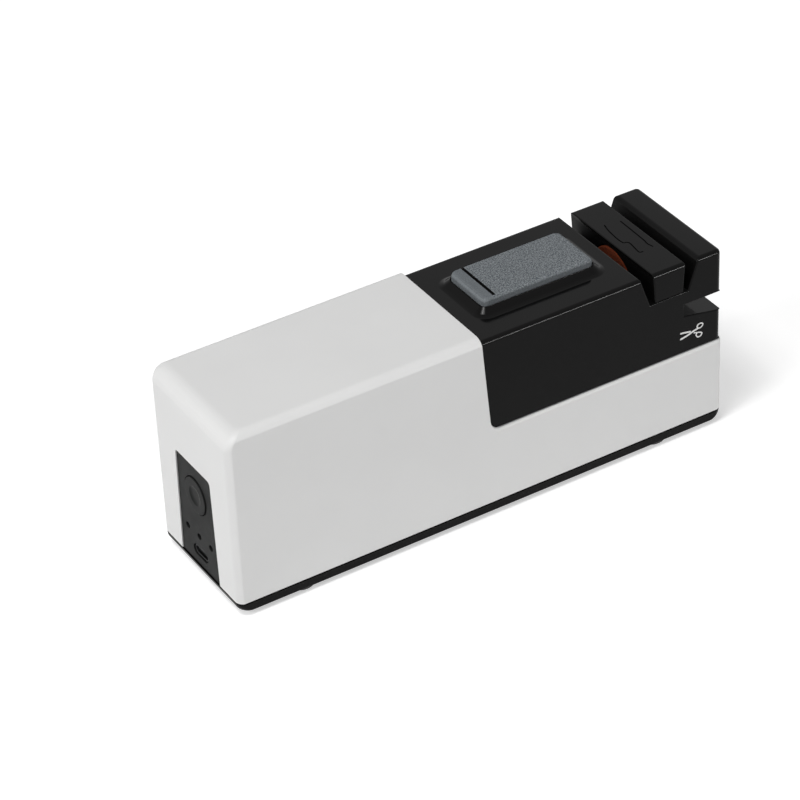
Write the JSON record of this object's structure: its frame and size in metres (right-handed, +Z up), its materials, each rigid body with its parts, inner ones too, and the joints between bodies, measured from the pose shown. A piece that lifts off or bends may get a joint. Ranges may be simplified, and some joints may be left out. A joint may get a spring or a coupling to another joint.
{
  "type": "electric knife sharpener",
  "caption": "Long rounded box with a white sleeve over a black base, a black head with knife slots, a scissors slot and a whetstone, and a push button and charging socket on its end.",
  "frame": {"origin": "on the table, under the middle of the housing", "axes": "+X from the control end towards the sharpening end, +Y to the left of that, +Z up"},
  "size_m": [0.2, 0.053, 0.0783],
  "materials": {
    "white_housing": "fine satin moulding",
    "black_plastic": "satin moulding",
    "charcoal_plastic": "fine matt moulding",
    "whetstone_grit": "fine blue-grey abrasive grain",
    "coarse_grit": "orange-brown abrasive grain",
    "fine_grit": "pale abrasive grain",
    "foot_rubber": "matt",
    "plated_steel": "zinc plated",
    "bare_steel": "bright",
    "bronze_brass": "turned",
    "copper": "tinned copper",
    "magnet_ferrite": "sintered",
    "board_laminate": "solder mask",
    "cell_wrap": "shrink sleeve",
    "nylon": "natural",
    "lamp_pipe": "clear",
    "red_sleeving": "insulation",
    "black_sleeving": "insulation"
  },
  "bodies": {
    "housing": {"base_plate": "black_plastic", "base_screw_1": "plated_steel", "base_screw_2": "plated_steel", "base_screw_3": "plated_steel", "base_screw_4": "plated_steel", "battery_cell": "cell_wrap", "battery_lead_minus": "black_sleeving", "battery_lead_plus": "red_sleeving", "battery_tab_minus": "bare_steel", "battery_tab_plus": "bare_steel", "board_screw_1": "plated_steel", "board_screw_2": "plated_steel", "body_shell": "white_housing", "bush_front": "bronze_brass", "bush_rear": "bronze_brass", "control_board": "board_laminate", "drive_frame": "black_plastic", "foot_front_left": "foot_rubber", "foot_front_right": "foot_rubber", "foot_rear_left": "foot_rubber", "foot_rear_right": "foot_rubber", "frame_screw_1": "plated_steel", "frame_screw_2": "plated_steel", "frame_screw_3": "plated_steel", "frame_screw_4": "plated_steel", "guide_block": "black_plastic", "guide_screw_1": "plated_steel", "guide_screw_2": "plated_steel", "head_housing": "black_plastic", "lamp_diode_left": "nylon", "lamp_diode_middle": "nylon", "lamp_diode_right": "nylon", "lamp_lens_left": "lamp_pipe", "lamp_lens_middle": "lamp_pipe", "lamp_lens_right": "lamp_pipe", "motor_can": "plated_steel", "motor_end_bell": "nylon", "motor_lead_minus": "black_sleeving", "motor_lead_plus": "red_sleeving", "motor_magnet_left": "magnet_ferrite", "motor_magnet_right": "magnet_ferrite", "motor_terminal_1": "copper", "motor_terminal_2": "copper", "rear_panel": "charcoal_plastic", "tact_switch": "plated_steel", "usb_socket": "bare_steel", "usb_tongue": "black_plastic", "whetstone": "whetstone_grit"},
    "button": {"power_button": "charcoal_plastic", "switch_plunger": "black_plastic"},
    "spindle": {"grinding_spindle": "bare_steel", "coarse_wheel": "coarse_grit", "fine_wheel": "fine_grit", "wheel_spacer": "nylon", "wheel_screw": "plated_steel", "shaft_coupling": "bronze_brass", "grub_screw_1": "plated_steel", "grub_screw_2": "plated_steel", "motor_shaft": "bare_steel", "motor_armature": "bare_steel"}
  },
  "joints": [
    {"name": "button_press", "type": "slide", "parent": "housing", "child": "button", "axis": [1, 0, 0], "range_m": [0, 0.0008], "stiffness_N_per_m": 1500},
    {"name": "spindle_turn", "type": "hinge", "parent": "housing", "child": "spindle", "pos_m": [0.07, 0, 0.059], "axis": [1, 0, 0], "continuous": true}
  ]
}
